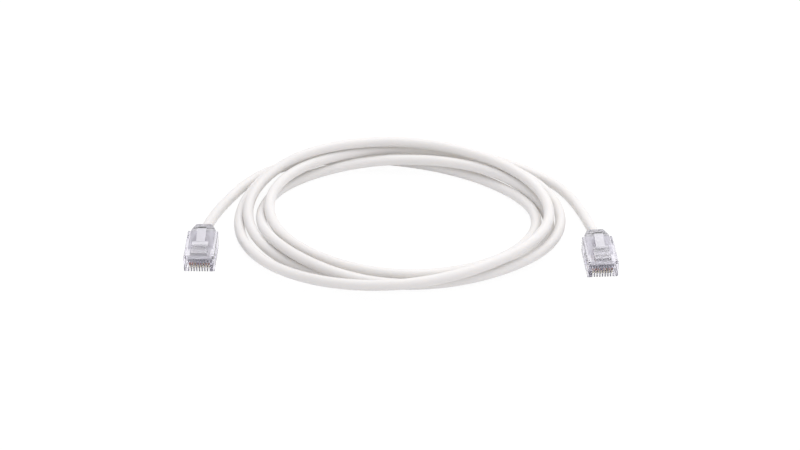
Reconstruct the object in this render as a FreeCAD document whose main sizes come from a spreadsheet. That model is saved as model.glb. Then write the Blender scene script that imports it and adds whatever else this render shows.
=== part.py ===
import FreeCAD, Part
import math
import os
import re

import Sketcher
from FreeCAD import Placement, Rotation, Vector

# Ethernet patch cable: a slim round cord, loosely coiled on a table, with an eight-contact modular
# plug on each end. Millimetres, +Z up. The origin is on the table, midway between the two plugs.
# A plug is drawn in its own frame (mating face at Y = 0 looking to -Y, latch on top, bottom at Z = 0)
# and then set down at its place on the table.

SIZES = (
    # housing
    ("plug_width", 11.68, "over the side walls"),
    ("plug_height", 6.6, "bottom to top, without the latch"),
    ("housing_length", 17.0, "mating face to open rear"),
    ("corner_round", 0.35, "radius on the long edges"),
    ("side_wall", 1.05, "beside the cavity"),
    ("floor_wall", 0.9, "under the cavity"),
    ("roof_wall", 0.8, "over the cavity"),
    ("cavity_front", 5.6, "mating face to the cavity"),
    ("nose_bevel", 0.8, "bevel on the nose's top edge"),
    ("recess_depth", 0.45, "recesses in each side"),
    ("recess_front", 1.9, "mating face to the front recess"),
    ("recess_rib", 0.6, "rib between the recesses"),
    ("recess_rib_back", 6.2, "mating face to that rib"),
    ("recess_rear", 3.8, "rear recess to the housing's rear"),
    ("recess_margin", 1.3, "recesses to the plug's top and bottom"),
    # wires and contacts
    ("wire_pitch", 1.02, "contact to contact, and wire to wire"),
    ("wire_diameter", 0.86, "over the insulation"),
    ("wire_level", 3.15, "flat wire row over the plug's bottom"),
    ("wire_front", 1.1, "mating face to the ends of the wire holes"),
    ("wire_gap", 0.03, "round a wire in its hole"),
    ("wire_end_gap", 0.15, "cut end of a wire to the end of its hole"),
    ("wire_free_run", 0.3, "load bar to where the row opens"),
    ("wire_split_run", 1.0, "along the plug while the row opens"),
    ("wire_end_run", 0.6, "straight into the jacket"),
    ("wire_bundle_pitch", 0.9, "wire to wire where they enter the jacket"),
    ("slot_width", 0.6, "contact slot across"),
    ("slot_length", 5.3, "contact slot from the mating face"),
    ("contact_thickness", 0.36, "contact blade"),
    ("contact_front", 0.75, "mating face to the contact"),
    ("contact_length", 4.2, "contact along the plug"),
    ("contact_recess", 0.7, "plug bottom to the contact's working edge"),
    ("contact_nose", 0.9, "radius of the contact's front corner"),
    ("contact_tooth", 0.5, "height of the contact's teeth"),
    ("contact_gap", 0.04, "tips of the teeth to the wire"),
    # other pieces in the cavity
    ("fit_gap", 0.06, "round a piece that sits in the housing"),
    ("load_bar_length", 3.0, "wire comb behind the contacts"),
    ("load_bar_height", 2.6, "wire comb"),
    ("jacket_inside", 4.1, "cut end of the jacket to the housing's rear"),
    ("cord_level", 3.4, "cord's axis over the plug's bottom"),
    ("relief_rear", 1.3, "strain relief bar to the housing's rear"),
    ("relief_length", 1.4, "strain relief bar along the plug"),
    ("relief_width", 6.4, "strain relief bar across the plug"),
    ("relief_recess", 0.2, "plug bottom to the bar"),
    # rear collar
    ("sleeve_length", 1.1, "part of the collar inside the housing"),
    ("collar_lip", 0.6, "step over and under the sleeve, against the housing's rear"),
    ("collar_straight", 1.6, "before the taper"),
    ("collar_taper", 3.8, "length of the taper"),
    ("collar_end_width", 6.4, "at the cord's exit"),
    ("collar_end_height", 5.4, "at the cord's exit"),
    ("collar_bore_gap", 0.3, "round the cord in the collar"),
    # latch
    ("hinge_back", 1.6, "mating face to the hinge axis"),
    ("hinge_rise", 0.45, "hinge axis over the housing's top"),
    ("root_radius", 0.45, "rolled root of the latch"),
    ("root_gap", 0.1, "round the root in its seat"),
    ("latch_rest_angle", 9.0, "rise of the latch to the rear, degrees"),
    ("latch_thickness", 0.75, "arm and finger"),
    ("shoulder_width", 6.1, "locking shoulders across"),
    ("shoulder_start", 1.4, "hinge axis to the shoulders"),
    ("shoulder_end", 6.0, "hinge axis to the locking edge"),
    ("shoulder_height", 1.15, "thickness at the locking edge"),
    ("finger_width", 3.4, "finger across"),
    ("finger_length", 14.2, "hinge axis to the finger's tip"),
    ("finger_round", 0.7, "radius of the tip's corners"),
    # cord
    ("jacket_diameter", 4.1, "over the jacket"),
    ("table_gap", 0.02, "cord to the table"),
    # plugs on the table
    ("left_x", -76.35, "middle of the mating face"),
    ("left_y", -9.46, "middle of the mating face"),
    ("left_turn", -1.4, "about Z, degrees"),
    ("right_x", 76.35, "middle of the mating face"),
    ("right_y", -12.96, "middle of the mating face"),
    ("right_turn", 3.7, "about Z, degrees"),
    # coil
    ("coil_half_width", 59.0, "mean oval"),
    ("coil_half_depth", 43.0, "mean oval"),
    ("coil_middle_x", -1.35, "middle of the oval"),
    ("coil_middle_y", 21.39, "middle of the oval"),
    ("coil_turn", -6.0, "turn of the oval about Z, degrees"),
    ("coil_start_heading", 31.0, "of the cord at the coil's start, degrees from +X"),
    ("coil_end_heading", -37.0, "of the cord at the coil's end, degrees from +X"),
    ("lead_tail", 7.5, "last run of a lead, in line with the coil's end"),
)
ALIASES = [row[0] for row in SIZES]

SIDES = ("left", "right")
WIRES = 8
CONTACT_TEETH = 3

# The coil runs clockwise seen from above. It is set out every eighth of a turn from its back left,
# and each row below is one turn: back left, back, back right, right, front right, front, front left
# and left. First, how far the cord lies outside the mean oval:
COIL_SPREAD = (
    (6.0, -1.0, -6.0, -4.0, -6.5, -7.0, -9.0, -9.0),
    (-5.5, 1.5, 4.5, 4.5, 3.0, 4.0, -2.5, -6.0),
    (-5.5, -6.5, -3.5, 1.0, -1.5, -1.0, 1.0, -0.5),
    (-2.0, -1.5, 0.5, 0.5, 3.5, 8.0, 6.5, 2.5),
    (2.5, 6.0, 10.5),
)
# and how high it lies, in cord diameters above the table:
COIL_LAYER = (
    (0.0, 0.0, 0.1, 0.3, 0.1, 0.15, 0.55, 1.1),
    (1.4, 0.95, 0.8, 0.65, 0.8, 1.0, 1.05, 0.35),
    (0.05, 1.15, 1.05, 0.05, 0.2, 0.0, 0.2, 0.95),
    (2.2, 2.3, 1.7, 1.5, 2.05, 1.5, 0.4, 0.1),
    (1.15, 0.8, 0.15),
)
COIL_START_ANGLE = 135.0
COIL_STEP = 45.0

# Each lead's hand-laid points on the table, between the straight run out of its plug and the run
# that is in line with the coil's end.
LEAD_POINTS = {
    "left": ((-73.75, 24.1, 2.9), (-71.05, 33.2, 2.3), (-67.05, 41.6, 2.08), (-61.25, 48.8, 2.1)),
    "right": ((73.05, 20.0, 2.9), (70.75, 29.2, 2.3), (66.75, 38.3, 2.08)),
}
PLUG_RUN = 10.0
ARC_SHARE = 0.45

# From the mating face, in the sheet's aliases:
JACKET_FRONT = "housing_length - jacket_inside"
RELIEF_FRONT = "housing_length - relief_rear - relief_length"

AXIS_X = Vector(1, 0, 0)
AXIS_Y = Vector(0, 1, 0)
AXIS_Z = Vector(0, 0, 1)

doc = FreeCAD.newDocument("patch_cable")
sheet = doc.addObject("Spreadsheet::Sheet", "sizes")
sheet.Label = "sizes"
for row, (alias, value, note) in enumerate(SIZES, start=1):
    sheet.set("A%d" % row, alias)
    sheet.set("B%d" % row, str(value))
    sheet.set("C%d" % row, note)
    sheet.setAlias("B%d" % row, alias)
doc.recompute()

nodes = []


# ---------------------------------------------------------------- sheet and sketch helpers

def cell(formula):
    """A formula in the sheet's aliases, in the words that setExpression reads."""
    def name(word):
        return "sizes." + word.group() if word.group() in ALIASES else word.group()
    return re.sub(r"[a-z]\w*", name, formula)


def value_of(formula):
    """The present value of such a formula."""
    return float(sheet.evalExpression(cell(formula)))


def plug_place(side):
    """Where a plug's own frame lies on the table."""
    spot = Vector(value_of(side + "_x"), value_of(side + "_y"), 0)
    return Placement(spot, Rotation(AXIS_Z, value_of(side + "_turn")))


def new_body(label, place):
    """A PartDesign body that is a node."""
    body = doc.addObject("PartDesign::Body", label)
    body.Label = label
    body.Placement = place
    nodes.append(body)
    return body


def new_sketch(body, role, offset="0"):
    """A sketch on one of the body's origin planes, moved along that plane's normal."""
    sketch = body.newObject("Sketcher::SketchObject", body.Name + "_sketch")
    plane = next(item for item in body.Origin.OriginFeatures if item.Role == role)
    sketch.AttachmentSupport = [(plane, "")]
    sketch.MapMode = "FlatFace"
    sketch.setExpression("AttachmentOffset.Base.z", cell(offset))
    return sketch


def pin_point(sketch, element, point, place, formulas):
    """Fix a point of the sketch by its two distances from the origin."""
    for kind, value, formula in zip(("DistanceX", "DistanceY"), place, formulas):
        rule = sketch.addConstraint(Sketcher.Constraint(kind, -1, 1, element, point, value))
        sketch.setExpression("Constraints[%d]" % rule, cell(formula))


def add_outline(sketch, corners):
    """A closed outline of straight lines through corners given as pairs of formulas."""
    places = [Vector(value_of(across), value_of(up), 0) for across, up in corners]
    first = sketch.GeometryCount
    count = len(corners)
    for index in range(count):
        sketch.addGeometry(Part.LineSegment(places[index], places[(index + 1) % count]), False)
    for index in range(count):
        following = first + (index + 1) % count
        sketch.addConstraint(Sketcher.Constraint("Coincident", first + index, 2, following, 1))
    for index, corner in enumerate(corners):
        pin_point(sketch, first + index, 1, places[index], corner)


def add_box(sketch, left, right, low, high):
    """A rectangle between four formulas."""
    add_outline(sketch, ((left, low), (right, low), (right, high), (left, high)))


def add_circle(sketch, across, up, diameter):
    """A circle by the formulas of its centre and diameter."""
    centre = Vector(value_of(across), value_of(up), 0)
    width = value_of(diameter)
    element = sketch.addGeometry(Part.Circle(centre, AXIS_Z, width / 2), False)
    pin_point(sketch, element, 3, centre, (across, up))
    rule = sketch.addConstraint(Sketcher.Constraint("Diameter", element, width))
    sketch.setExpression("Constraints[%d]" % rule, cell(diameter))


def extrude(body, kind, sketch, length, midplane=False, reverse=False):
    """A Pad or Pocket of the sketch; a Pocket must take something away."""
    before = body.Shape.Volume if body.Tip else 0.0
    feature = body.newObject("PartDesign::" + kind, body.Name + "_" + kind.lower())
    feature.Profile = sketch
    feature.setExpression("Length", cell(length))
    feature.Midplane = midplane
    feature.Reversed = reverse
    body.Tip = feature
    doc.recompute()
    change = body.Shape.Volume - before
    if (change >= 0) == (kind == "Pocket"):
        raise RuntimeError("%s of %s changed the volume by %.3f" % (kind, body.Label, change))
    return feature


def round_edges(body, radius, chosen):
    """Fillet the edges of the body whose middle passes the test."""
    base = body.Tip
    names = ["Edge%d" % number for number, edge in enumerate(base.Shape.Edges, start=1)
             if chosen(edge)]
    feature = body.newObject("PartDesign::Fillet", body.Name + "_fillet")
    feature.Base = (base, names)
    feature.setExpression("Radius", cell(radius))
    body.Tip = feature
    doc.recompute()
    return feature


def edge_along(edge, axis):
    """Whether an edge is straight along an axis."""
    ends = [vertex.Point for vertex in edge.Vertexes]
    if len(ends) < 2:
        return False
    way = ends[1] - ends[0]
    return abs(way.dot(axis)) > 0.999 * way.Length


# ---------------------------------------------------------------- cord helpers

def arc_edge(start, heading, end):
    """The arc from start, leaving along heading, to end."""
    chord = end - start
    side = chord - heading * chord.dot(heading)
    half_turn = math.atan2(side.Length, chord.dot(heading))
    side.normalize()
    radius = chord.Length / (2 * math.sin(half_turn))
    middle = start + heading * (radius * math.sin(half_turn)) + side * (
        radius * (1 - math.cos(half_turn)))
    return Part.Arc(start, middle, end).toShape(), radius


def rounded_path(points):
    """Straight runs through the points joined by tangent arcs, and the arcs' radii."""
    edges = []
    radii = []
    last = points[0]
    for before, corner, after in zip(points, points[1:], points[2:]):
        inward = (corner - before).normalize()
        outward = (after - corner).normalize()
        half_turn = inward.getAngle(outward) / 2
        cut = ARC_SHARE * min((corner - before).Length, (after - corner).Length)
        start = corner - inward * cut
        end = corner + outward * cut
        edges.append(Part.LineSegment(last, start).toShape())
        edges.append(arc_edge(start, inward, end)[0])
        radii.append(cut / math.tan(half_turn))
        last = end
    edges.append(Part.LineSegment(last, points[-1]).toShape())
    return edges, radii


def biarc(start, heading, end, end_heading):
    """Two tangent arcs from one place and heading to another."""
    gap = end - start
    square = 2 * (heading.dot(end_heading) - 1)
    middle = -2 * gap.dot(heading + end_heading)
    reach = (-middle - math.sqrt(middle ** 2 - 4 * square * gap.dot(gap))) / (2 * square)
    joint = (start + end + (heading - end_heading) * reach) * 0.5
    joint_heading = (end - end_heading * reach) - (start + heading * reach)
    joint_heading.normalize()
    first, first_radius = arc_edge(start, heading, joint)
    second, second_radius = arc_edge(joint, joint_heading, end)
    return [first, second], [first_radius, second_radius]


def tube(edges, diameter):
    """A round solid along the edges."""
    path = Part.Wire(edges)
    start = edges[0].Vertexes[0].Point
    heading = (edges[0].Vertexes[1].Point - start).normalize()
    ring = Part.Wire(Part.Circle(start, heading, diameter / 2).toShape())
    shell = Part.BRepOffsetAPI.MakePipeShell(path)
    shell.add(ring)
    shell.build()
    shell.makeSolid()
    return Part.Solid(shell.shape())


def new_tube(label, edges, diameter, place=Placement()):
    """A node that is one round tube; its volume is checked against section times length."""
    node = doc.addObject("Part::Feature", label)
    node.Label = label
    node.Shape = tube(edges, diameter)
    node.Placement = place
    nodes.append(node)
    expected = math.pi * diameter ** 2 / 4 * sum(edge.Length for edge in edges)
    if abs(node.Shape.Volume / expected - 1) > 0.002:
        raise RuntimeError("%s holds %.1f, not %.1f" % (label, node.Shape.Volume, expected))
    return node


def least_gap(edges, diameter, step=1.5):
    """The least gap of a tube to itself, measured between points along it."""
    points = []
    for edge in edges:
        points += edge.discretize(max(2, int(edge.Length / step)))[:-1]
    apart = int(4 * diameter / step) + 1
    least = min((points[i] - points[j]).Length
                for i in range(len(points)) for j in range(i + apart, len(points)))
    return least - diameter


# ---------------------------------------------------------------- pieces of a plug

def make_housing(side):
    """Clear housing: nose with eight contact slots, cavity open to the rear, seat for the latch."""
    body = new_body(side + "_plug_housing", plug_place(side))

    outline = new_sketch(body, "XZ_Plane")
    add_box(outline, "-plug_width / 2", "plug_width / 2", "0", "plug_height")
    extrude(body, "Pad", outline, "housing_length", reverse=True)
    round_edges(body, "corner_round", lambda edge: edge_along(edge, AXIS_Y))

    bevel = new_sketch(body, "YZ_Plane")
    add_outline(bevel, (("0", "plug_height"), ("0", "plug_height - nose_bevel"),
                        ("nose_bevel", "plug_height")))
    extrude(body, "Pocket", bevel, "plug_width", midplane=True)

    for offset, reverse in (("-plug_width / 2", True), ("plug_width / 2", False)):
        recesses = new_sketch(body, "YZ_Plane", offset)
        for front, rear in (("recess_front", "recess_rib_back"),
                            ("recess_rib_back + recess_rib", "housing_length - recess_rear")):
            add_box(recesses, front, rear, "recess_margin", "plug_height - recess_margin")
        extrude(body, "Pocket", recesses, "recess_depth", reverse=reverse)

    cavity = new_sketch(body, "XZ_Plane", "-cavity_front")
    add_box(cavity, "-plug_width / 2 + side_wall", "plug_width / 2 - side_wall",
            "floor_wall", "plug_height - roof_wall")
    extrude(body, "Pocket", cavity, "housing_length - cavity_front")

    wire_holes = new_sketch(body, "XZ_Plane", "-wire_front")
    for index in range(WIRES):
        add_circle(wire_holes, wire_across(index), "wire_level", "wire_diameter + 2 * wire_gap")
    extrude(body, "Pocket", wire_holes, "cavity_front - wire_front")

    slots = new_sketch(body, "XZ_Plane")
    for index in range(WIRES):
        across = wire_across(index)
        add_box(slots, across + " - slot_width / 2", across + " + slot_width / 2",
                "0", "wire_level - wire_diameter / 4")
    extrude(body, "Pocket", slots, "slot_length")

    window = new_sketch(body, "XY_Plane")
    add_box(window, "-relief_width / 2 - fit_gap", "relief_width / 2 + fit_gap",
            RELIEF_FRONT + " - fit_gap", RELIEF_FRONT + " + relief_length + fit_gap")
    extrude(body, "Pocket", window, "floor_wall", reverse=True)

    seat = new_sketch(body, "YZ_Plane")
    add_circle(seat, "hinge_back", "plug_height + hinge_rise", "2 * (root_radius + root_gap)")
    extrude(body, "Pocket", seat, "plug_width", midplane=True)


def make_latch(side):
    """Latch: a rolled root, a wedge with two locking shoulders, and a finger to press."""
    hinge = Placement(Vector(0, value_of("hinge_back"), value_of("plug_height + hinge_rise")),
                      Rotation(AXIS_X, value_of("latch_rest_angle")))
    body = new_body(side + "_latch", plug_place(side) * hinge)

    root = new_sketch(body, "YZ_Plane")
    add_circle(root, "0", "0", "2 * root_radius")
    extrude(body, "Pad", root, "shoulder_width", midplane=True)

    wedge = new_sketch(body, "YZ_Plane")
    low = "-latch_thickness / 2"
    add_outline(wedge, (("0", low), ("shoulder_end", low),
                        ("shoulder_end", "shoulder_height - latch_thickness / 2"),
                        ("shoulder_start", "latch_thickness / 2"), ("0", "latch_thickness / 2")))
    extrude(body, "Pad", wedge, "shoulder_width", midplane=True)

    finger = new_sketch(body, "XY_Plane", low)
    add_box(finger, "-finger_width / 2", "finger_width / 2", "shoulder_start", "finger_length")
    extrude(body, "Pad", finger, "latch_thickness")
    tip = value_of("finger_length")
    round_edges(body, "finger_round",
                lambda edge: edge_along(edge, AXIS_Z) and edge.CenterOfMass.y > tip - 0.01)


def make_collar(side):
    """Collar round the cord: a sleeve in the housing's rear and a taper behind it."""
    body = new_body(side + "_cord_collar", plug_place(side))

    left = "-plug_width / 2 + side_wall + fit_gap"
    right = "plug_width / 2 - side_wall - fit_gap"
    sleeve = new_sketch(body, "XZ_Plane", "sleeve_length - housing_length")
    add_box(sleeve, left, right, "floor_wall + fit_gap", "plug_height - roof_wall - fit_gap")
    extrude(body, "Pad", sleeve, "sleeve_length", reverse=True)

    block = new_sketch(body, "XZ_Plane", "-housing_length")
    wide = new_sketch(body, "XZ_Plane", "-housing_length - collar_straight")
    for section in (block, wide):
        add_box(section, left, right, "floor_wall + fit_gap - collar_lip",
                "plug_height - roof_wall - fit_gap + collar_lip")
    extrude(body, "Pad", block, "collar_straight", reverse=True)

    narrow = new_sketch(body, "XZ_Plane", "-housing_length - collar_straight - collar_taper")
    add_box(narrow, "-collar_end_width / 2", "collar_end_width / 2",
            "cord_level - collar_end_height / 2", "cord_level + collar_end_height / 2")
    taper = body.newObject("PartDesign::AdditiveLoft", body.Name + "_taper")
    taper.Profile = wide
    taper.Sections = [narrow]
    taper.Ruled = True
    body.Tip = taper
    doc.recompute()
    round_edges(body, "corner_round", lambda edge: collar_long_edge(edge))

    bore = new_sketch(body, "XZ_Plane", "sleeve_length - housing_length")
    add_circle(bore, "0", "cord_level", "jacket_diameter + 2 * collar_bore_gap")
    extrude(body, "Pocket", bore, "sleeve_length + collar_straight + collar_taper")


def collar_long_edge(edge):
    """Whether an edge is one of the eight long outer edges behind the housing."""
    ends = [vertex.Point for vertex in edge.Vertexes]
    behind = value_of("housing_length")
    return min(point.y for point in ends) > behind - 0.01 and abs(ends[0].y - ends[1].y) > 0.5


def make_load_bar(side):
    """Wire comb: a bar with a hole for each wire, behind the contacts."""
    body = new_body(side + "_load_bar", plug_place(side))
    block = new_sketch(body, "XZ_Plane", "-cavity_front - fit_gap")
    add_box(block, "-plug_width / 2 + side_wall + fit_gap", "plug_width / 2 - side_wall - fit_gap",
            "wire_level - load_bar_height / 2", "wire_level + load_bar_height / 2")
    extrude(body, "Pad", block, "load_bar_length", reverse=True)
    holes = new_sketch(body, "XZ_Plane", "-cavity_front - fit_gap")
    for index in range(WIRES):
        add_circle(holes, wire_across(index), "wire_level", "wire_diameter + 2 * wire_gap")
    extrude(body, "Pocket", holes, "load_bar_length")


def make_relief_bar(side):
    """Strain relief bar, pressed up through the floor against the jacket."""
    body = new_body(side + "_strain_relief_bar", plug_place(side))
    foot = new_sketch(body, "XY_Plane", "relief_recess")
    add_box(foot, "-relief_width / 2", "relief_width / 2",
            RELIEF_FRONT, RELIEF_FRONT + " + relief_length")
    extrude(body, "Pad", foot, "cord_level - jacket_diameter / 2 - relief_recess - contact_gap")


def wire_across(index):
    """Where a wire and its contact lie across the plug."""
    return "(%g) * wire_pitch" % (index - (WIRES - 1) / 2)


def make_contact(side, index):
    """Contact blade: rounded working edge below, teeth towards the wire above."""
    body = new_body("%s_contact_%d" % (side, index + 1), plug_place(side))
    blade = new_sketch(body, "YZ_Plane", wire_across(index))
    front = "contact_front"
    top = "wire_level - wire_diameter / 2 - contact_gap"
    corners = [(front, "contact_recess"), (front + " + contact_length", "contact_recess")]
    for tooth in range(CONTACT_TEETH, 0, -1):
        root = "%s + contact_length * %d / %d" % (front, tooth, CONTACT_TEETH)
        tip = "%s + contact_length * (%d - 0.5) / %d" % (front, tooth, CONTACT_TEETH)
        corners.append((root, top + " - contact_tooth"))
        corners.append((tip, top))
    corners.append((front, top + " - contact_tooth"))
    add_outline(blade, corners)
    extrude(body, "Pad", blade, "contact_thickness", midplane=True)
    nose = Vector(0, value_of(front), value_of("contact_recess"))
    round_edges(body, "contact_nose",
                lambda edge: edge_along(edge, AXIS_X) and
                edge.CenterOfMass.distanceToPoint(Vector(edge.CenterOfMass.x, nose.y, nose.z)) < 0.01)


def make_wire(side, index):
    """Wire: straight past its contact, then up or down and in, to its place in the jacket's end."""
    across = value_of(wire_across(index))
    pitch = value_of("wire_bundle_pitch")
    columns = WIRES // 2
    bundle_across = (index // 2 - (columns - 1) / 2) * pitch
    bundle_up = value_of("cord_level") + (0.5 if index % 2 else -0.5) * pitch
    level = value_of("wire_level")
    split = value_of("cavity_front + fit_gap + load_bar_length + wire_free_run")
    gather = split + value_of("wire_split_run")
    jacket = value_of(JACKET_FRONT)
    points = [Vector(across, value_of("wire_front + wire_end_gap"), level),
              Vector(across, split, level),
              Vector(across, gather, bundle_up),
              Vector(bundle_across, jacket - value_of("wire_end_run"), bundle_up),
              Vector(bundle_across, jacket, bundle_up)]
    edges, radii = rounded_path(points)
    new_tube("%s_wire_%d" % (side, index + 1), edges, value_of("wire_diameter"), plug_place(side))
    return min(radii)


# ---------------------------------------------------------------- cord

def coil_point(angle, spread, layer):
    """A place on the coil's centreline."""
    turn = math.radians(angle)
    across = (value_of("coil_half_width") + spread) * math.cos(turn)
    back = (value_of("coil_half_depth") + spread) * math.sin(turn)
    diameter = value_of("jacket_diameter")
    up = value_of("table_gap") + diameter * (0.5 + layer)
    middle = Vector(value_of("coil_middle_x"), value_of("coil_middle_y"), 0)
    return middle + Rotation(AXIS_Z, value_of("coil_turn")).multVec(Vector(across, back, up))


def level_heading(alias):
    """A level unit vector at a heading kept in the sheet."""
    turn = math.radians(value_of(alias))
    return Vector(math.cos(turn), math.sin(turn), 0)


def make_coil():
    """The wound turns, as one tube on biarcs of a quarter turn with a straight stub at each end."""
    spreads = sum(COIL_SPREAD, ())
    layers = sum(COIL_LAYER, ())
    stations = [coil_point(COIL_START_ANGLE - COIL_STEP * index, spread, layer)
                for index, (spread, layer) in enumerate(zip(spreads, layers))]
    headings = [(after - before).normalize() for before, after in zip(stations, stations[2:])]
    headings = [level_heading("coil_start_heading")] + headings + [level_heading("coil_end_heading")]
    stub = value_of("jacket_diameter")
    start = stations[0] - headings[0] * stub
    end = stations[-1] + headings[-1] * stub
    edges = [Part.LineSegment(start, stations[0]).toShape()]
    radii = []
    for index in range(0, len(stations) - 2, 2):
        arcs, arc_radii = biarc(stations[index], headings[index],
                                stations[index + 2], headings[index + 2])
        edges += arcs
        radii += arc_radii
    edges.append(Part.LineSegment(stations[-1], end).toShape())
    new_tube("cord_coil", edges, value_of("jacket_diameter"))
    report_cord("cord_coil", edges, radii)
    print("cord_coil least gap to itself %.2f mm" % least_gap(edges, value_of("jacket_diameter")))
    return (start, headings[0]), (end, headings[-1] * -1)


def make_lead(side, coil_end, coil_way):
    """A free lead from the jacket's cut end in the plug to the coil."""
    place = plug_place(side)
    front = Vector(0, value_of(JACKET_FRONT), value_of("cord_level"))
    points = [place.multVec(front), place.multVec(front + Vector(0, PLUG_RUN, 0))]
    points += [Vector(*point) for point in LEAD_POINTS[side]]
    points += [coil_end - coil_way * value_of("lead_tail"), coil_end]
    edges, radii = rounded_path(points)
    new_tube(side + "_cord_lead", edges, value_of("jacket_diameter"))
    report_cord(side + "_cord_lead", edges, radii)


def report_cord(label, edges, radii):
    """Print what a stretch of cord measures."""
    length = sum(edge.Length for edge in edges)
    print("%s length %.1f mm, radii from %.1f mm" % (label, length, min(radii)))


def check_and_write():
    """Stop at any failed object or shape; then write one STEP file for each node."""
    for item in doc.Objects:
        if "Invalid" in item.State or "Error" in item.State:
            raise RuntimeError("%s is %s" % (item.Label, item.State))
    os.makedirs("parts", exist_ok=True)
    for node in nodes:
        if node.Shape.isNull() or not node.Shape.isValid() or len(node.Shape.Solids) != 1:
            raise RuntimeError(node.Label + " has no single valid solid")
        node.Shape.exportStep("parts/%s.step" % node.Label)


for side in SIDES:
    make_housing(side)
    make_latch(side)
    make_collar(side)
    make_load_bar(side)
    make_relief_bar(side)
    for index in range(WIRES):
        make_contact(side, index)
    tightest = min(make_wire(side, index) for index in range(WIRES))
    print("%s wires bend from %.2f mm" % (side, tightest))
coil_ends = make_coil()
for side, (coil_end, coil_way) in zip(SIDES, coil_ends):
    make_lead(side, coil_end, coil_way)
doc.recompute()
check_and_write()
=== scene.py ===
import math

import bmesh
import bpy
from bpy.props import FloatProperty, FloatVectorProperty, IntProperty, PointerProperty
from mathutils import Matrix, Vector


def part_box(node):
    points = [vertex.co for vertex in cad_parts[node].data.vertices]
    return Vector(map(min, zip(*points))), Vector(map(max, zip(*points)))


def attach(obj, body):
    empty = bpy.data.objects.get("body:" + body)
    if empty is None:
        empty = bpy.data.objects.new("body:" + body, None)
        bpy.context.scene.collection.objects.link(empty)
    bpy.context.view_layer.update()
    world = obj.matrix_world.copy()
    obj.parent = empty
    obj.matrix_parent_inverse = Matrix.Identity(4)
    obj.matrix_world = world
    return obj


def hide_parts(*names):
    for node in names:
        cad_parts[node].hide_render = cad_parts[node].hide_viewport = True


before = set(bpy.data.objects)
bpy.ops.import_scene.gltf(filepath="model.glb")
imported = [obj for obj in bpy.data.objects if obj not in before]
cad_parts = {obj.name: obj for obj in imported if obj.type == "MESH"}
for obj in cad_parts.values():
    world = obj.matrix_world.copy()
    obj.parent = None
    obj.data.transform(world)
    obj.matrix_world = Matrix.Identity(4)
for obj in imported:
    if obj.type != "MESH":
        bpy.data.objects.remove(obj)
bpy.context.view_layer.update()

bl_info = {
    "name": "Ethernet patch cable",
    "version": (1, 0, 0),
    "blender": (4, 5, 0),
    "location": "3D View > Sidebar > Patch Cable",
    "description": "Dresses the packed patch cable: cord, clear plugs, wires, contacts and stage",
    "category": "Object",
}

MM = 0.001
WIRES = 8

# Middle of each plug's mating face on the table in millimetres, and the plug's turn in degrees.
PLUG_PLACES = {"left": (-76.35, -9.46, -1.4), "right": (76.35, -12.96, 3.7)}

# Where a housing turns from clear to hazy, in metres in the plug's own frame: at the inner faces of
# its walls (from the middle), over its cavity (from the mating face) and on top of its nose (up).
HAZE_BETWEEN = (0.0050, 0.0046)
HAZE_BEHIND = (0.0045, 0.0075)
HAZE_TOP = (0.0053, 0.0058)
# How clear it is there, for each plug.
HAZE_CLEAR = {"left": 0.68, "right": 0.58}

# How clear and how pale the latches and collars are along a plug: distances from the mating face in
# millimetres, and values. Each latch has its own: light falls through the two plugs at different
# angles.
PLUG_REACH = 24.0
# The dips in clarity across the wedge are painted highlights, a bright step and a bright wavy line;
# the lower clarity of the finger is its frosting.
LATCH_CLEAR_AND_PAINTED_HIGHLIGHT = {
    "left": ((1.6, 0.9), (2.1, 0.72), (2.6, 0.72), (3.0, 0.88), (5.5, 0.82), (5.9, 0.45), (6.9, 0.45),
             (7.3, 0.72), (7.6, 0.4), (15.0, 0.4)),
    "right": ((1.6, 0.88), (2.1, 0.68), (2.5, 0.68), (2.9, 0.88), (3.2, 0.88), (3.5, 0.6), (4.3, 0.6),
              (4.8, 0.82), (6.6, 0.82), (7.5, 0.45), (15.0, 0.45)),
}
# The dips in paleness are painted shade: dark lines across the wedge and a dark line at the finger's
# tip.
LATCH_TONE_AND_PAINTED_SHADE = {
    "left": ((4.2, 0.82), (4.4, 0.6), (4.8, 0.6), (5.1, 0.82), (14.8, 0.82), (15.0, 0.03)),
    "right": ((2.8, 0.8), (2.9, 0.62), (3.2, 0.62), (3.4, 0.8), (5.8, 0.8), (6.0, 0.45),
              (6.4, 0.45), (6.6, 0.8), (14.8, 0.81), (15.0, 0.03)),
}
# The dip is a painted shade band across the collar.
COLLAR_TONE_AND_PAINTED_SHADE = ((18.9, 0.76), (19.1, 0.35), (19.6, 0.35), (19.9, 0.76))
# Polycarbonate has a faint violet toner against yellowing.
TONER = (1.0, 0.985, 1.03)

# The copper cores at the wires' cut ends: height over the contact's top and length, in metres, then
# the share of the radius that is left at the cut, and the number of sides.
CORE_RISE = 0.00047
CORE_DEPTH = 0.00012
CORE_TAPER = 0.9
CORE_SIDES = 20

# Edge rounding of moulded pieces.
EDGE_STEPS = 2
EDGE_ANGLE = math.radians(40)

# Stage, in metres, and lens, in millimetres.
FLOOR_HALF = 3.0
FLOOR_DROP = 0.00002
SOFTBOX_SIZE = (0.9, 0.6)
SOFTBOX_PLACE = (0.2, 0.25, 0.7)
SOFTBOX_AIM = Vector((0, 0.02, 0))
VIEW_MIDDLE = Vector((-0.25, 20.94, 0.0)) * MM
SENSOR = 36.0
LENS = 99.0
# Light meets many walls of clear plastic before it leaves a plug, and many turns of pale cord before
# it leaves the coil.
PLASTIC_BOUNCES = 32
CORD_BOUNCES = 16
WHITE = (1, 1, 1, 1)


# ---------------------------------------------------------------- the cord's route, in millimetres

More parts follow.
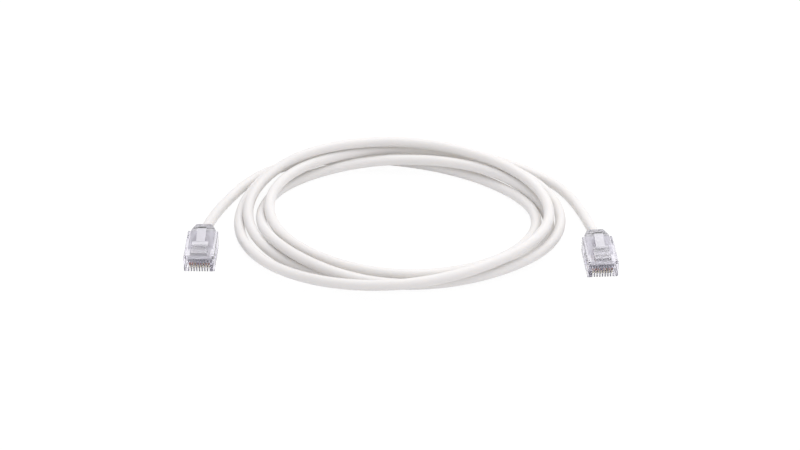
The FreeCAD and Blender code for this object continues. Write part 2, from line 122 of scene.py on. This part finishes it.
# Left lead, from the jacket's cut end inside the plug to the coil.
LEFT_LEAD = (
    (-76.04, 3.44, 3.4), (-75.91, 8.43, 3.4), (-75.5, 12.7, 3.38), (-74.65, 16.85, 3.2),
    (-73.05, 22.8, 2.85), (-71.12, 28.48, 2.45), (-68.32, 35.05, 2.07), (-63.84, 43.5, 2.07),
    (-59.07, 49.8, 2.07), (-53.61, 55.1, 2.07), (-48.45, 58.3, 2.07),
)
# Right lead, from the coil to the jacket's cut end inside the plug.
RIGHT_LEAD = (
    (56.25, 51.0, 2.2), (61.25, 46.7, 2.07), (65.8, 40.0, 2.07), (69.1, 32.65, 2.1),
    (71.35, 25.4, 2.4), (72.85, 19.3, 2.8), (74.0, 14.3, 3.2), (74.87, 9.9, 3.4),
    (75.2, 4.9, 3.4), (75.52, -0.09, 3.4),
)
# The coil runs clockwise seen from above, from its back left. Each row is one turn, set out every
# eighth: back left, back, back right, right, front right, front, front left, left.
# How far the cord lies outside the mean oval:
COIL_SPREAD = (
    (5.9, -2.1, -5.4, -4.7, -5.8, -4.4, -7.8, -9.0),
    (-5.2, -0.1, 4.4, 4.5, 2.9, 4.1, -2.2, -6.2),
    (-5.2, -6.9, -3.2, 0.5, -1.2, -0.5, -0.1, -0.8),
    (-2.2, -1.7, -1.3, 0.0, 2.4, 8.2, 6.5, 2.2),
    (2.5, 5.2, 10.5),
)
# and how high it lies, in cord diameters above the table:
COIL_LAYER = (
    (0.0, 0.0, 0.1, 0.5, 0.3, 0.6, 0.8, 1.2),
    (1.4, 1.2, 0.8, 0.6, 0.85, 1.0, 1.1, 0.3),
    (0.1, 1.1, 1.1, 0.05, 0.2, 0.1, 0.15, 0.9),
    (2.2, 2.3, 2.0, 1.75, 2.05, 1.5, 0.35, 0.15),
    (1.15, 0.7, 0.15),
)
COIL_HALF_WIDTH = 59.0
COIL_HALF_DEPTH = 43.0
COIL_MIDDLE = Vector((-1.35, 21.39, 0.0))
COIL_TURN = math.radians(-6.0)
COIL_START = math.radians(135.0)
COIL_EIGHTH = math.radians(45.0)
COIL_POINTS_PER_EIGHTH = 3
TABLE_GAP = 0.02


def settle(values, pieces):
    """Values between the given ones, on a smooth line through them."""
    padded = [2 * values[0] - values[1]] + list(values) + [2 * values[-1] - values[-2]]
    smooth = []
    for before, here, there, after in zip(padded, padded[1:], padded[2:], padded[3:]):
        for piece in range(pieces):
            part = piece / pieces
            smooth.append(0.5 * (
                2 * here + (there - before) * part
                + (2 * before - 5 * here + 4 * there - after) * part ** 2
                + (3 * here - before - 3 * there + after) * part ** 3))
    smooth.append(values[-1])
    return smooth


def coil_route(diameter):
    """Control points of the coil's turns, in millimetres."""
    spreads = settle(sum(COIL_SPREAD, ()), COIL_POINTS_PER_EIGHTH)
    layers = settle(sum(COIL_LAYER, ()), COIL_POINTS_PER_EIGHTH)
    stride = COIL_EIGHTH / COIL_POINTS_PER_EIGHTH
    # The spline cuts inside its control points by this share of the radius.
    reach = 1 / (0.75 + 0.25 * math.cos(stride))
    turn = Matrix.Rotation(COIL_TURN, 3, "Z")
    points = []
    for index, (spread, layer) in enumerate(zip(spreads, layers)):
        angle = COIL_START - stride * index
        across = (COIL_HALF_WIDTH + spread) * math.cos(angle) * reach
        back = (COIL_HALF_DEPTH + spread) * math.sin(angle) * reach
        up = TABLE_GAP + diameter * (0.5 + layer)
        points.append(COIL_MIDDLE + turn @ Vector((across, back, up)))
    return points


# ---------------------------------------------------------------- colours and nodes

def linear(code, alpha=1.0):
    """An sRGB hex code as linear red, green, blue and alpha."""
    channels = []
    for index in (0, 2, 4):
        value = int(code[index:index + 2], 16) / 255
        channels.append(value / 12.92 if value <= 0.04045 else ((value + 0.055) / 1.055) ** 2.4)
    return (*channels, alpha)


def add_node(tree, kind, settings=None, inputs=None):
    """Add a node with its settings, and with inputs that are values or sockets to link."""
    node = tree.nodes.new(kind)
    for name, value in (settings or {}).items():
        setattr(node, name, value)
    for name, value in (inputs or {}).items():
        if isinstance(value, bpy.types.NodeSocket):
            tree.links.new(value, node.inputs[name])
        else:
            node.inputs[name].default_value = value
    return node


def new_material(name):
    """An empty material with its output node."""
    material = bpy.data.materials.new(name)
    material.use_nodes = True
    material.node_tree.nodes.clear()
    output = material.node_tree.nodes.new("ShaderNodeOutputMaterial")
    return material, material.node_tree, output


def ramp(tree, factor, stops):
    """A colour ramp with the given (position, colour) stops."""
    node = add_node(tree, "ShaderNodeValToRGB", inputs={"Fac": factor})
    band = node.color_ramp
    while len(band.elements) < len(stops):
        band.elements.new(0.5)
    for element, (position, colour) in zip(band.elements, stops):
        element.position = position
        element.color = colour
    return node


def noise(tree, size, detail):
    """Noise that stays with the object, its spots about the given size in metres."""
    place = add_node(tree, "ShaderNodeTexCoord")
    node = add_node(tree, "ShaderNodeTexNoise", inputs={
        "Vector": place.outputs["Object"], "Scale": 1 / size, "Detail": detail})
    return node.outputs["Fac"]


def bump(tree, height, strength, distance):
    """A surface normal that follows the given height."""
    node = add_node(tree, "ShaderNodeBump", inputs={
        "Height": height, "Strength": strength, "Distance": distance})
    return node.outputs["Normal"]


def jacket_pvc(settings):
    """Soft PVC jacket, extruded and left as drawn: a satin off-white skin, faintly mottled."""
    material, tree, output = new_material("Jacket PVC extruded satin")
    # Slow drift of the compound's tone along and round the cord.
    drift = noise(tree, 0.025, 3.0)
    warm = linear("E5E3E0")
    cool = linear("E2E0DD")
    tone = ramp(tree, drift, ((0.35, cool), (0.65, warm)))
    # Skin grain of the extrusion, 2600 spots to the metre: a little coarse, so that it shows.
    grain = noise(tree, 1 / 2600, 2.0)
    rough = add_node(tree, "ShaderNodeMapRange", inputs={
        "Value": grain, "To Min": settings.jacket_roughness - 0.04,
        "To Max": settings.jacket_roughness + 0.04})
    skin = add_node(tree, "ShaderNodeBsdfPrincipled", inputs={
        "Base Color": tone.outputs["Color"], "Roughness": rough.outputs["Result"],
        "Normal": bump(tree, grain, 0.08, 0.0001), "IOR": 1.53, "Specular IOR Level": 0.35,
        "Subsurface Weight": 0.45, "Subsurface Radius": (0.003, 0.0028, 0.0025),
        "Subsurface Scale": 1.0})
    tree.links.new(skin.outputs["BSDF"], output.inputs["Surface"])
    return material


def plug_place(tree, side):
    """How far a place lies across a plug, back from its mating face and up, in metres."""
    across, back, turn = PLUG_PLACES[side]
    place = add_node(tree, "ShaderNodeTexCoord")
    turned = add_node(tree, "ShaderNodeMapping", settings={"vector_type": "TEXTURE"},
                      inputs={"Vector": place.outputs["Object"],
                              "Location": (across * MM, back * MM, 0.0),
                              "Rotation": (0.0, 0.0, math.radians(turn))})
    return add_node(tree, "ShaderNodeSeparateXYZ",
                    inputs={"Vector": turned.outputs["Vector"]}).outputs


def soft_step(tree, value, start, end, low=0.0, high=1.0):
    """A soft step from low to high while the value goes from start to end."""
    node = add_node(tree, "ShaderNodeMapRange", settings={"interpolation_type": "SMOOTHSTEP"},
                    inputs={"Value": value, "From Min": start, "From Max": end,
                            "To Min": low, "To Max": high})
    return node.outputs["Result"]


def math_of(tree, operation, *values):
    """The result of one operation on one or two sockets."""
    node = add_node(tree, "ShaderNodeMath", settings={"operation": operation})
    for socket, value in zip(node.inputs, values):
        tree.links.new(value, socket)
    return node.outputs["Value"]


def polycarbonate(name, tint, roughness, grain, clear, relief=0.12):
    """Injection moulded polycarbonate with flow lines or mould texture of the given size, in metres.
    Its tint is a hex code and its clarity a number, or each is a function that makes a socket."""
    material, tree, output = new_material(name)
    body = add_node(tree, "ShaderNodeBsdfPrincipled", inputs={
        "Base Color": tint(tree) if callable(tint) else linear(tint),
        "Roughness": roughness, "IOR": 1.585,
        "Transmission Weight": clear(tree) if callable(clear) else clear,
        "Normal": bump(tree, noise(tree, grain, 1.0), relief, grain / 8)})
    tree.links.new(body.outputs["BSDF"], output.inputs["Surface"])
    return material


def housing_clarity(side):
    """Clear walls and nose; hazy between the walls, over the cavity and on top of the nose."""
    def clarity(tree):
        place = plug_place(tree, side)
        between = soft_step(tree, math_of(tree, "ABSOLUTE", place["X"]), *HAZE_BETWEEN)
        behind = soft_step(tree, place["Y"], *HAZE_BEHIND)
        top = soft_step(tree, place["Z"], *HAZE_TOP)
        haze = math_of(tree, "MULTIPLY", between, math_of(tree, "MAXIMUM", behind, top))
        return soft_step(tree, haze, 0.0, 1.0, 1.0, HAZE_CLEAR[side])
    return clarity


def bands_along(tree, side, stops):
    """Tones along a plug, given as (distance from the mating face in millimetres, value); on the
    latches and collars they carry painted shade and painted highlight bands.
    """
    along = add_node(tree, "ShaderNodeMapRange", inputs={
        "Value": plug_place(tree, side)["Y"], "From Min": 0.0, "From Max": PLUG_REACH * MM})
    toned = [(back / PLUG_REACH, (*(value * share for share in TONER), 1.0))
             for back, value in stops]
    return ramp(tree, along.outputs["Result"], toned).outputs["Color"]


def banded(side, stops):
    """A function that makes the given bands in a material of that side's plug."""
    def bands(tree):
        return bands_along(tree, side, stops)
    return bands


def gold_plate():
    """Phosphor bronze blade, stamped and gold plated: bright, with fine shear lines."""
    material, tree, output = new_material("Contact bronze gold plated")
    place = add_node(tree, "ShaderNodeTexCoord")
    # Shear lines of the stamping, about 0.1 mm apart along the blade's height.
    stretch = add_node(tree, "ShaderNodeMapping",
                       inputs={"Vector": place.outputs["Object"], "Scale": (9000.0, 1500.0, 600.0)})
    lines = add_node(tree, "ShaderNodeTexNoise",
                     inputs={"Vector": stretch.outputs["Vector"], "Scale": 1.0, "Detail": 2.0})
    rough = add_node(tree, "ShaderNodeMapRange", inputs={
        "Value": lines.outputs["Fac"], "To Min": 0.24, "To Max": 0.40})
    metal = add_node(tree, "ShaderNodeBsdfPrincipled", inputs={
        "Base Color": linear("C6BEAC"), "Metallic": 1.0, "Roughness": rough.outputs["Result"]})
    tree.links.new(metal.outputs["BSDF"], output.inputs["Surface"])
    return material


def wire_polyethylene(name, base, stripe):
    """Solid polyethylene insulation, extruded: waxy, with its mate's colour as short bands."""
    material, tree, output = new_material(name)
    place = add_node(tree, "ShaderNodeTexCoord")
    # Ink bands every 2.4 mm along the wire; one that is plain has the same colour twice.
    ink = add_node(tree, "ShaderNodeTexWave",
                   settings={"wave_type": "BANDS", "bands_direction": "Y"},
                   inputs={"Vector": place.outputs["Object"], "Scale": 130.0, "Distortion": 0.6,
                           "Detail": 1.0})
    tone = ramp(tree, ink.outputs["Fac"], ((0.60, linear(base)), (0.66, linear(stripe))))
    skin = add_node(tree, "ShaderNodeBsdfPrincipled", inputs={
        "Base Color": tone.outputs["Color"], "Roughness": 0.38, "IOR": 1.51})
    tree.links.new(skin.outputs["BSDF"], output.inputs["Surface"])
    return material


def bare_copper():
    """Copper wire end, sheared: pink-orange, slightly torn."""
    material, tree, output = new_material("Copper sheared")
    # Torn grain of the cut.
    grain = noise(tree, 0.000125, 2.0)
    metal = add_node(tree, "ShaderNodeBsdfPrincipled", inputs={
        "Base Color": linear("A8705A"), "Metallic": 1.0, "Roughness": 0.4,
        "Normal": bump(tree, grain, 0.4, 0.00003)})
    tree.links.new(metal.outputs["BSDF"], output.inputs["Surface"])
    return material


def seen_directly(tree):
    """1 for rays that show the backdrop: from the camera, in a reflection or through clear plastic."""
    path = add_node(tree, "ShaderNodeLightPath").outputs
    some = math_of(tree, "MAXIMUM", path["Is Camera Ray"], path["Is Glossy Ray"])
    return math_of(tree, "MAXIMUM", some, path["Is Transmission Ray"])


def floor_paper():
    """White paper sweep: it shows as plain white and keeps a faint shadow."""
    material, tree, output = new_material("Backdrop paper white")
    paper = add_node(tree, "ShaderNodeBsdfDiffuse", inputs={"Color": linear("F2F2F2")})
    faint = add_node(tree, "ShaderNodeBsdfDiffuse", inputs={"Color": linear("5C5C5C")})
    glow = add_node(tree, "ShaderNodeEmission", inputs={"Color": WHITE, "Strength": 0.93})
    shown = add_node(tree, "ShaderNodeAddShader")
    tree.links.new(faint.outputs["BSDF"], shown.inputs[0])
    tree.links.new(glow.outputs["Emission"], shown.inputs[1])
    choice = add_node(tree, "ShaderNodeMixShader", inputs={"Fac": seen_directly(tree)})
    tree.links.new(paper.outputs["BSDF"], choice.inputs[1])
    tree.links.new(shown.outputs["Shader"], choice.inputs[2])
    tree.links.new(choice.outputs["Shader"], output.inputs["Surface"])
    return material


# ---------------------------------------------------------------- helpers for pieces

def dress(node, material):
    """Give a CAD node one material."""
    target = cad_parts[node]
    target.data.materials.clear()
    target.data.materials.append(material)


def soften(node, width):
    """Round a CAD node's sharp edges a little, as a mould does."""
    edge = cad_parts[node].modifiers.new("edge_radius", "BEVEL")
    edge.width = width
    edge.segments = EDGE_STEPS
    edge.limit_method = "ANGLE"
    edge.angle_limit = EDGE_ANGLE
    edge.harden_normals = True


def link(item):
    """Put a new object into the scene."""
    bpy.context.scene.collection.objects.link(item)
    return item


# ---------------------------------------------------------------- sizes and colours to change

class PatchCableSettings(bpy.types.PropertyGroup):
    jacket_diameter: FloatProperty(
        name="Jacket diameter", description="Cord over its jacket",
        default=0.0041, min=0.003, max=0.007, subtype="DISTANCE", unit="LENGTH")
    jacket_roughness: FloatProperty(
        name="Jacket roughness", description="How satin the jacket is",
        default=0.42, min=0.05, max=1.0, subtype="FACTOR")
    cord_length: FloatProperty(
        name="Cord length", description="From jacket end to jacket end",
        default=1.5, min=0.3, max=5.0, subtype="DISTANCE", unit="LENGTH")
    edge_radius: FloatProperty(
        name="Plug edge radius", description="Rounding of the moulded edges",
        default=0.00008, min=0.0, max=0.0003, subtype="DISTANCE", unit="LENGTH")
    core_radius: FloatProperty(
        name="Wire core radius", description="Copper core of a wire",
        default=0.00027, min=0.0001, max=0.0004, subtype="DISTANCE", unit="LENGTH")
    camera_elevation: FloatProperty(
        name="Camera elevation", description="Height of the camera above the horizon",
        default=math.radians(35.2), min=0.0, max=math.pi / 2, subtype="ANGLE", unit="ROTATION")
    camera_distance: FloatProperty(
        name="Camera distance", description="From the middle of the view",
        default=0.86, min=0.2, max=3.0, subtype="DISTANCE", unit="LENGTH")
    world_tone: FloatVectorProperty(
        name="Studio tone", description="Colour of the light all round",
        default=linear("F2F1F6")[:3], size=3, min=0.0, max=1.0, subtype="COLOR")
    world_strength: FloatProperty(
        name="Studio light", description="Light from all round", default=0.89, min=0.0, max=3.0)
    softbox_power: FloatProperty(
        name="Softbox power", description="Lamp over the object",
        default=3.3, min=0.0, max=100.0, subtype="POWER", unit="POWER")
    cord_detail: IntProperty(
        name="Cord detail", description="Steps along the cord between two control points",
        default=8, min=2, max=24)


# ---------------------------------------------------------------- operators

class PATCHCABLE_OT_cord(bpy.types.Operator):
    """Lay the cord from plug to plug as one smooth tube"""
    bl_idname = "patch_cable.cord"
    bl_label = "Cord"

    def execute(self, context):
        settings = context.scene.patch_cable
        diameter = settings.jacket_diameter
        points = [Vector(point) for point in LEFT_LEAD]
        points += coil_route(diameter / MM)
        points += [Vector(point) for point in RIGHT_LEAD]
        data = bpy.data.curves.new("cord", "CURVE")
        data.dimensions = "3D"
        spline = data.splines.new("NURBS")
        spline.points.add(len(points) - 1)
        for spot, point in zip(spline.points, points):
            spot.co = (*(point * MM), 1.0)
        spline.order_u = 3
        spline.use_endpoint_u = True
        spline.resolution_u = settings.cord_detail
        spline.use_smooth = True
        data.bevel_depth = diameter / 2
        data.bevel_resolution = 8
        data.use_fill_caps = True
        data.materials.append(jacket_pvc(settings))
        cord = link(bpy.data.objects.new("cord", data))
        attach(cord, "cable")
        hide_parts("left_cord_lead", "cord_coil", "right_cord_lead")
        return {"FINISHED"}


class PATCHCABLE_OT_plugs(bpy.types.Operator):
    """Finish the housings, latches, collars and bars of both plugs"""
    bl_idname = "patch_cable.plugs"
    bl_label = "Plugs"

    def execute(self, context):
        settings = context.scene.patch_cable
        # The comb and the bar inside the plug are milky.
        milky = polycarbonate("Polycarbonate moulded milky", "E6E5EC", 0.25, 0.0006, 0.40)
        for side in PLUG_PLACES:
            # Polished; flow lines 1.5 mm apart.
            dress(side + "_plug_housing", polycarbonate(
                "Polycarbonate moulded polished " + side, "F3F1F8", 0.05, 0.0015,
                housing_clarity(side)))
            # A polished wedge and a frosted finger; flow lines 0.9 mm apart. Painted highlight bands
            # and painted shade lines cross the wedge, and a painted shade line sits at the finger's
            # tip.
            dress(side + "_latch", polycarbonate(
                "Polycarbonate moulded latch " + side, banded(side, LATCH_TONE_AND_PAINTED_SHADE[side]), 0.12, 0.0009,
                banded(side, LATCH_CLEAR_AND_PAINTED_HIGHLIGHT[side]), relief=0.6))
            # Fine eroded texture, about 0.4 mm, with a painted shade band across the collar.
            dress(side + "_cord_collar", polycarbonate(
                "Polycarbonate moulded frosted " + side, banded(side, COLLAR_TONE_AND_PAINTED_SHADE), 0.20, 0.0004,
                0.68))
            dress(side + "_load_bar", milky)
            dress(side + "_strain_relief_bar", milky)
            for part in ("plug_housing", "latch", "cord_collar"):
                soften("%s_%s" % (side, part), settings.edge_radius)
        return {"FINISHED"}


class PATCHCABLE_OT_conductors(bpy.types.Operator):
    """Finish the contacts and the wires, and add the wires' bare copper ends"""
    bl_idname = "patch_cable.conductors"
    bl_label = "Contacts and wires"

    def execute(self, context):
        settings = context.scene.patch_cable
        gold = gold_plate()
        copper = bare_copper()
        white, orange, green = "E6E2DC", "B4532F", "23773B"
        blue, brown = "1F4394", "4F2E1B"
        pairs = (("white orange", white, orange), ("orange", orange, orange),
                 ("white green", white, green), ("blue", blue, blue),
                 ("white blue", white, blue), ("green", green, green),
                 ("white brown", white, brown), ("brown", brown, brown))
        insulation = [wire_polyethylene("Wire polyethylene " + name, base, stripe)
                      for name, base, stripe in pairs]
        for side in PLUG_PLACES:
            for index in range(WIRES):
                dress("%s_contact_%d" % (side, index + 1), gold)
                dress("%s_wire_%d" % (side, index + 1), insulation[index])
            self.add_cores(side, copper, settings.core_radius)
        return {"FINISHED"}

    def add_cores(self, side, copper, radius):
        """One short copper core in front of each wire's cut end."""
        mesh = bmesh.new()
        for index in range(WIRES):
            wire_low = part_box("%s_wire_%d" % (side, index + 1))[0]
            contact_low, contact_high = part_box("%s_contact_%d" % (side, index + 1))
            middle = Vector(((contact_low[0] + contact_high[0]) / 2, wire_low[1],
                             contact_high[2] + CORE_RISE))
            place = Matrix.Translation(middle) @ Matrix.Rotation(math.pi / 2, 4, "X")
            bmesh.ops.create_cone(mesh, cap_ends=True, segments=CORE_SIDES, radius1=radius,
                                  radius2=radius * CORE_TAPER, depth=CORE_DEPTH, matrix=place)
        data = bpy.data.meshes.new(side + "_wire_cores")
        mesh.to_mesh(data)
        mesh.free()
        data.materials.append(copper)
        cores = link(bpy.data.objects.new(side + "_wire_cores", data))
        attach(cores, "cable")


class PATCHCABLE_OT_stage(bpy.types.Operator):
    """Set up the white sweep, the soft studio light and the camera"""
    bl_idname = "patch_cable.stage"
    bl_label = "Stage"

    def execute(self, context):
        scene = context.scene
        settings = scene.patch_cable
        scene.view_settings.view_transform = "Standard"
        scene.cycles.max_bounces = PLASTIC_BOUNCES
        scene.cycles.glossy_bounces = PLASTIC_BOUNCES
        scene.cycles.transmission_bounces = PLASTIC_BOUNCES
        scene.cycles.diffuse_bounces = CORD_BOUNCES
        self.add_floor()
        self.add_world(scene, settings)
        self.add_lamps(settings)
        self.add_camera(scene, settings)
        return {"FINISHED"}

    def add_floor(self):
        """The paper that the cable lies on."""
        mesh = bmesh.new()
        bmesh.ops.create_grid(mesh, x_segments=1, y_segments=1, size=FLOOR_HALF)
        data = bpy.data.meshes.new("floor")
        mesh.to_mesh(data)
        mesh.free()
        data.materials.append(floor_paper())
        floor = link(bpy.data.objects.new("floor", data))
        floor.location.z = -FLOOR_DROP

    def add_world(self, scene, settings):
        """Even light from all round; the backdrop itself shows as plain white."""
        world = bpy.data.worlds.new("studio")
        world.use_nodes = True
        tree = world.node_tree
        tree.nodes.clear()
        light = add_node(tree, "ShaderNodeBackground", inputs={
            "Color": (*settings.world_tone, 1.0), "Strength": settings.world_strength})
        shown = add_node(tree, "ShaderNodeBackground", inputs={"Color": WHITE, "Strength": 1.0})
        choice = add_node(tree, "ShaderNodeMixShader", inputs={"Fac": seen_directly(tree)})
        tree.links.new(light.outputs["Background"], choice.inputs[1])
        tree.links.new(shown.outputs["Background"], choice.inputs[2])
        output = add_node(tree, "ShaderNodeOutputWorld")
        tree.links.new(choice.outputs["Shader"], output.inputs["Surface"])
        scene.world = world

    def add_lamps(self, settings):
        """A large softbox to the right, above and a little behind."""
        data = bpy.data.lights.new("softbox", "AREA")
        data.shape = "RECTANGLE"
        data.size, data.size_y = SOFTBOX_SIZE
        data.energy = settings.softbox_power
        lamp = link(bpy.data.objects.new("softbox", data))
        lamp.location = SOFTBOX_PLACE
        aim = SOFTBOX_AIM - lamp.location
        lamp.rotation_euler = aim.to_track_quat("-Z", "Y").to_euler()

    def add_camera(self, scene, settings):
        """A long lens, level, in front of and above the cable."""
        data = bpy.data.cameras.new("camera")
        data.sensor_width = SENSOR
        data.lens = LENS
        camera = link(bpy.data.objects.new("camera", data))
        rise = settings.camera_elevation
        back = Vector((0, -math.cos(rise), math.sin(rise)))
        camera.location = VIEW_MIDDLE + back * settings.camera_distance
        camera.rotation_euler = (math.pi / 2 - rise, 0.0, 0.0)
        scene.camera = camera


OPERATORS = (PATCHCABLE_OT_cord, PATCHCABLE_OT_plugs, PATCHCABLE_OT_conductors,
             PATCHCABLE_OT_stage)


class PATCHCABLE_PT_panel(bpy.types.Panel):
    """Lists the pieces and the sizes that can be changed"""
    bl_idname = "PATCHCABLE_PT_panel"
    bl_label = "Patch Cable"
    bl_space_type = "VIEW_3D"
    bl_region_type = "UI"
    bl_category = "Patch Cable"

    def draw(self, context):
        settings = context.scene.patch_cable
        for name in PatchCableSettings.__annotations__:
            self.layout.prop(settings, name)
        for operator in OPERATORS:
            self.layout.operator(operator.bl_idname)


CLASSES = (PatchCableSettings, *OPERATORS, PATCHCABLE_PT_panel)


def register():
    for item in CLASSES:
        bpy.utils.register_class(item)
    bpy.types.Scene.patch_cable = PointerProperty(type=PatchCableSettings)


def unregister():
    del bpy.types.Scene.patch_cable
    for item in reversed(CLASSES):
        bpy.utils.unregister_class(item)


def main():
    """Make every piece in order."""
    register()
    bpy.ops.patch_cable.stage()
    bpy.ops.patch_cable.cord()
    bpy.ops.patch_cable.plugs()
    bpy.ops.patch_cable.conductors()


if __name__ == "__main__":
    main()
